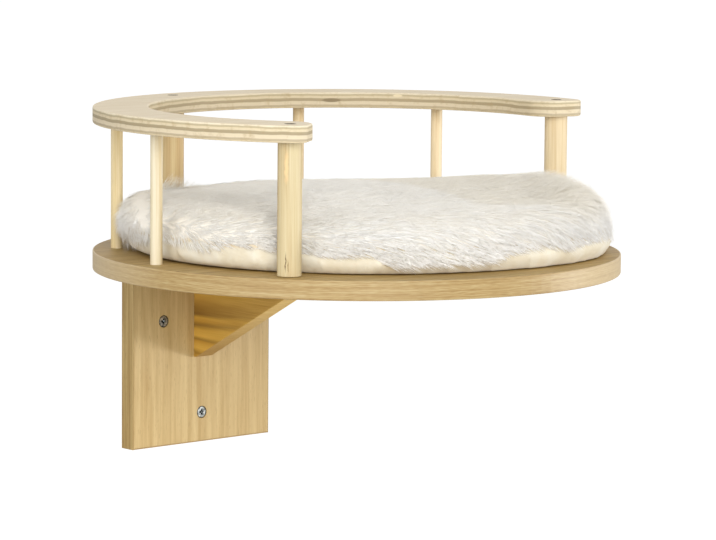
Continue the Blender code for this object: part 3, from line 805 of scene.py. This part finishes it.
# The way that each guide hair lies, how much it stands up, and its length in millimetres.
comb = to_right * (1.0 - 0.3 * left_share - 1.1 * fluff - 1.2 * wisp)[:, None]
comb = comb + flutter * 0.22 + ripple * 0.08
comb[:, 2] -= steep * (0.25 + 0.12 * left_share) + 0.5 * fluff
comb = comb - (comb * normals).sum(1)[:, None] * normals
way = unit(comb)
lift = 0.03 + 0.015 * ripple[:, 0] + 0.06 * left_share + 0.12 * right_share
lift += 0.08 * fluff + 3.2 * tuft + 0.15 * wisp + 0.6 * crest
long = 15 + 2 * flutter[:, 1] - 5.5 * left_share - 3.5 * right_share + 0.8 * rng.standard_normal(GUIDES)
long += 4 * fluff + 4 * tuft + 3 * wisp - 5 * right_share * climb(-height, -26, 8)
SHORTEST, LONGEST = 7, 26
long = np.clip(long, SHORTEST, LONGEST) * MM

# A guide grows in steps. Each step ends above the cover and the platform and clear of the posts, and droops
# more.
paths = [roots]
heading = unit(way + lift[:, None] * normals)
for step in range(1, STEPS + 1):
    point = paths[-1] + heading * (long / STEPS)[:, None]
    gap = (0.15 + 0.25 * step) * MM
    for i, p in enumerate(point):
        near, normal, _, _ = skin_tree.find_nearest(Vector(p))
        if near is not None:
            inside = (Vector(p) - near).dot(normal)
            if inside < gap:
                point[i] = near + normal * gap
    point[:, 2] = np.maximum(point[:, 2], CUSHION_FOOT + 0.6 * MM)
    point = clear_of_posts(point, POST_ROOM)
    paths.append(point)
    heading = unit(unit(point - paths[-2]) + np.array((0, 0, -0.12)) * (0.2 + steep)[:, None])
guides = np.stack(paths, 1)

# Every hair takes its shape from the three guides nearest to it, and its tip is drawn towards the nearest
# one, so that tufts form. They are looser at the left. Each hair has its own length and a little frizz.
finder = kdtree.KDTree(GUIDES)
for i, p in enumerate(roots):
    finder.insert(p, i)
finder.balance()
hair_roots, hair_normals = scattered(HAIRS)
near = [finder.find_n(p, 3) for p in hair_roots]
index = np.array([[n[1] for n in three] for three in near])
apart = np.array([[n[2] for n in three] for three in near])
weight = 1 / (apart + 0.5 * MM)
weight /= weight.sum(1)[:, None]
offsets = guides - guides[:, :1]
shift = (offsets[index] * weight[:, :, None, None]).sum(1)
along = np.linspace(0, 1, STEPS + 1)
size = np.clip(1 + 0.16 * rng.standard_normal(HAIRS), 0.5, 1.6)
shift *= size[:, None, None]
hairs = hair_roots[:, None] + shift
to_guide = guides[index[:, 0]] - hairs
hair_right, hair_away = across(hair_roots)
loose = climb(-hair_right, 30 * MM, 60 * MM)
hairs += to_guide * ((0.14 - 0.07 * loose)[:, None] * along ** 1.3)[..., None]
frizz = rng.standard_normal((HAIRS, 3)) * 0.28 * MM
hairs += frizz[:, None] * along[None, :, None] ** 1.5
flat_hairs = hairs.reshape(-1, 3)
flat_hairs[:, 2] = np.maximum(flat_hairs[:, 2], CUSHION_FOOT + 0.4 * MM)
hairs = clear_of_posts(flat_hairs, 0.6 * MM).reshape(hairs.shape)
hairs[:, 0] -= hair_normals * 0.8 * MM

# A hair's rings of three points, about 0.5 mm wide with a low ridge, and its tip; then the faces between
# them.
HALF_WIDTH = 0.25 * MM
TAPER = np.array([0.9, 1.0, 0.8, 0.5])
RIDGE = 0.28
ahead = unit(np.gradient(hairs, axis=1))
side = unit(np.cross(ahead, hair_normals[:, None]))
out = unit(np.cross(side, ahead))
half = HALF_WIDTH * np.clip(1 + 0.25 * rng.standard_normal(HAIRS), 0.5, 1.6)
wide = half[:, None] * TAPER
rings = hairs[:, :STEPS]
left_edge = rings - side[:, :STEPS] * wide[..., None]
right_edge = rings + side[:, :STEPS] * wide[..., None]
ridge = rings + out[:, :STEPS] * (wide * RIDGE)[..., None]
section = np.stack([left_edge, right_edge, ridge], 2).reshape(HAIRS, -1, 3)
points = np.concatenate([section, hairs[:, STEPS:]], 1)
each = 3 * STEPS + 1
faces = [(0, 1, 2)]
for ring in range(STEPS - 1):
    for a, b in ((0, 1), (1, 2), (2, 0)):
        a, b = 3 * ring + a, 3 * ring + b
        faces += [(a, a + 3, b + 3), (a, b + 3, b)]
faces += [(3 * STEPS - 3 + a, 3 * STEPS, 3 * STEPS - 3 + b) for a, b in ((0, 1), (1, 2), (2, 0))]
faces = np.array(faces)

# Acrylic gives a matt white. The map's first number is the hair's own shade, from cream to white, and its
# second goes from the root, painted a touch darker as the shade deep in the pile, to the tip.
plush, tree, shader = material("white acrylic plush pile")
spot = add(tree, "ShaderNodeUVMap", uv_map="OFBake").outputs[0]
parts = add(tree, "ShaderNodeSeparateXYZ", {0: spot})
tone = add(
    tree,
    "ShaderNodeValToRGB",
    {0: parts.outputs[0]},
    [(0.0, "#eae1cc"), (0.28, "#f7f3ea"), (0.75, "#fffefc")],
).outputs[0]
painted_root_shade = add(
    tree,
    "ShaderNodeValToRGB",
    {0: parts.outputs[1]},
    [(0.0, "#fbf8f1"), (0.4, "#fefdfa"), (1.0, "#ffffff")],
).outputs[0]
colour = add(
    tree, "ShaderNodeMix", {0: 1.0, 6: tone, 7: painted_root_shade}, data_type="RGBA", blend_type="MULTIPLY"
).outputs[2]
tree.links.new(colour, shader.inputs["Base Color"])
shader.inputs["Roughness"].default_value = 0.75

# Hairs differ in shade, and so do tufts. The pile is creamier on the top beyond a slanting edge, and a little
# so on the rest of the top.
shade = 0.45 + 0.25 * rng.random(HAIRS) + 0.2 * rng.random(GUIDES)[index[:, 0]]
creamy_edge = np.maximum(-84 * MM, 30 * MM - 2.2 * (hair_right - 34 * MM))
creamy = np.maximum(climb(hair_away, creamy_edge, 12 * MM), 0.4)
creamy *= np.clip(hair_normals[:, 2] * 2 - 1, 0, 1)
shade = np.clip(shade * (1 - 0.66 * creamy - 0.12 * loose), 0, 1)

# The pile is made in six pieces: four quarters of the flank, and the two halves of the crown.
CROWN_RADIUS = 120 * MM
bearing = np.degrees(np.arctan2(hair_right, -hair_away))
on_crown = np.hypot(hair_right, hair_away) < CROWN_RADIUS
part_of = np.select(
    [on_crown & (bearing < 0), on_crown, np.abs(bearing) < 45, np.abs(bearing) > 135, bearing < 0],
    ["crown_left", "crown_right", "front", "back", "left"],
    "right",
)
for name in ("front", "left", "back", "right", "crown_left", "crown_right"):
    mine = np.flatnonzero(part_of == name)
    mesh = bpy.data.meshes.new(f"pile_{name}")
    own = points[mine].reshape(-1, 3)
    links = (faces[None] + (np.arange(len(mine)) * each)[:, None, None]).reshape(-1)
    mesh.vertices.add(len(own))
    mesh.vertices.foreach_set("co", own.ravel())
    mesh.loops.add(len(links))
    mesh.loops.foreach_set("vertex_index", links.astype(np.int32))
    mesh.polygons.add(len(links) // 3)
    mesh.polygons.foreach_set("loop_start", np.arange(0, len(links), 3, dtype=np.int32))
    mesh.update(calc_edges=True)
    place = np.concatenate([np.repeat(along[:STEPS], 3), along[STEPS:]])
    u = 0.02 + 0.94 * np.repeat(shade[mine], each) + np.tile(np.arange(each) % 3, len(mine)) * 0.008
    v = 0.02 + 0.96 * np.tile(place, len(mine))
    layer = mesh.uv_layers.new(name="OFBake")
    layer.uv.foreach_set("vector", np.stack([u, v], 1)[links].astype(np.float32).ravel())
    mesh.materials.append(plush)
    pile = bpy.data.objects.new(f"pile_{name}", mesh)
    bpy.context.scene.collection.objects.link(pile)
    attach(pile, "cushion")

# Studio. An evenly white room with a white floor well below the bed. A large soft light stands in front, a
# weaker one at the left, and a small one, nearly level, at the right throws the bracket's shadow across the
# plate.

floor_mesh = bpy.data.meshes.new("floor")
shape = bmesh.new()
bmesh.ops.create_grid(
    shape, x_segments=1, y_segments=1, size=40.0, matrix=Matrix.Translation((0, 0, -420 * MM))
)
shape.to_mesh(floor_mesh)
shape.free()
floor = bpy.data.objects.new("floor", floor_mesh)
bpy.context.scene.collection.objects.link(floor)

# Matt paint, which glows for the camera alone, so that the floor is seen as white as the room.
paint, tree, shader = material("matt white floor")
shader.inputs["Base Color"].default_value = linear("#bcbcbc")
shader.inputs["Roughness"].default_value = 0.9
seen = add(tree, "ShaderNodeLightPath").outputs["Is Camera Ray"]
glow = add(tree, "ShaderNodeMath", {0: seen, 1: 0.65}, operation="MULTIPLY").outputs[0]
shader.inputs["Emission Color"].default_value = (1, 1, 1, 1)
tree.links.new(glow, shader.inputs["Emission Strength"])
floor.data.materials.append(paint)

# The room is full white to the camera and in reflections, and gives less as light.
ROOM_LIGHT = 0.66
world = bpy.data.worlds.new("white room")
bpy.context.scene.world = world
world.use_nodes = True
tree = world.node_tree
back = tree.nodes["Background"]
back.inputs["Color"].default_value = (1, 1, 1, 1)
path = add(tree, "ShaderNodeLightPath")
looked_at = add(
    tree,
    "ShaderNodeMath",
    {0: path.outputs["Is Camera Ray"], 1: path.outputs["Is Glossy Ray"]},
    operation="MAXIMUM",
).outputs[0]
strength = add(
    tree, "ShaderNodeMapRange", {"Value": looked_at, "To Min": ROOM_LIGHT, "To Max": 1.0}
).outputs[0]
tree.links.new(strength, back.inputs["Strength"])

# The lights, with their places and sizes in metres and their power in watts.
BED_MIDDLE = Vector((0, -0.2, 0.1))


def lamp(name, place, size, power):
    """A square soft light that faces the bed."""
    data = bpy.data.lights.new(name, "AREA")
    data.shape, data.size, data.size_y, data.energy = "RECTANGLE", size, size, power
    made = bpy.data.objects.new(name, data)
    bpy.context.scene.collection.objects.link(made)
    made.location = place
    made.rotation_euler = (BED_MIDDLE - Vector(place)).to_track_quat("-Z", "Y").to_euler()


lamp("side light", (2.45, -1.90, 0.16), 0.5, 35)
lamp("front light", (-1.6, -2.7, 1.05), 1.8, 66)
lamp("left fill", (-3.1, -0.7, 0.6), 1.6, 24)

# Camera, with the place and the lens that were fitted to the photograph: its tilts in radians, its distance
# in metres, and its focal length and picture width in pixels, against a sensor 36 mm wide.
PITCH, ROLL = 0.1175, 0.0088
DISTANCE = 2.828
FOCAL_LENGTH, PICTURE_WIDTH, SENSOR = 3547.3, 716, 36
ahead_flat = Vector((0.6637, 0.7480, 0))
sideways = Vector((0.7480, -0.6637, 0))
forward = ahead_flat * math.cos(PITCH) - Vector((0, 0, math.sin(PITCH)))
upward = sideways.cross(forward)
turned = Matrix((sideways, upward, -forward)).transposed() @ Matrix.Rotation(ROLL, 3, "Z")
camera_data = bpy.data.cameras.new("camera")
camera_data.lens = FOCAL_LENGTH / PICTURE_WIDTH * SENSOR
camera_data.clip_end = 200
camera = bpy.data.objects.new("camera", camera_data)
bpy.context.scene.collection.objects.link(camera)
aim = CENTRE + Vector((0, 0, 81.3 * MM)) + sideways * 1.1 * MM
camera.matrix_world = Matrix.Translation(aim - forward * DISTANCE) @ turned.to_4x4()
bpy.context.scene.camera = camera
bpy.context.scene.view_settings.view_transform = "Standard"
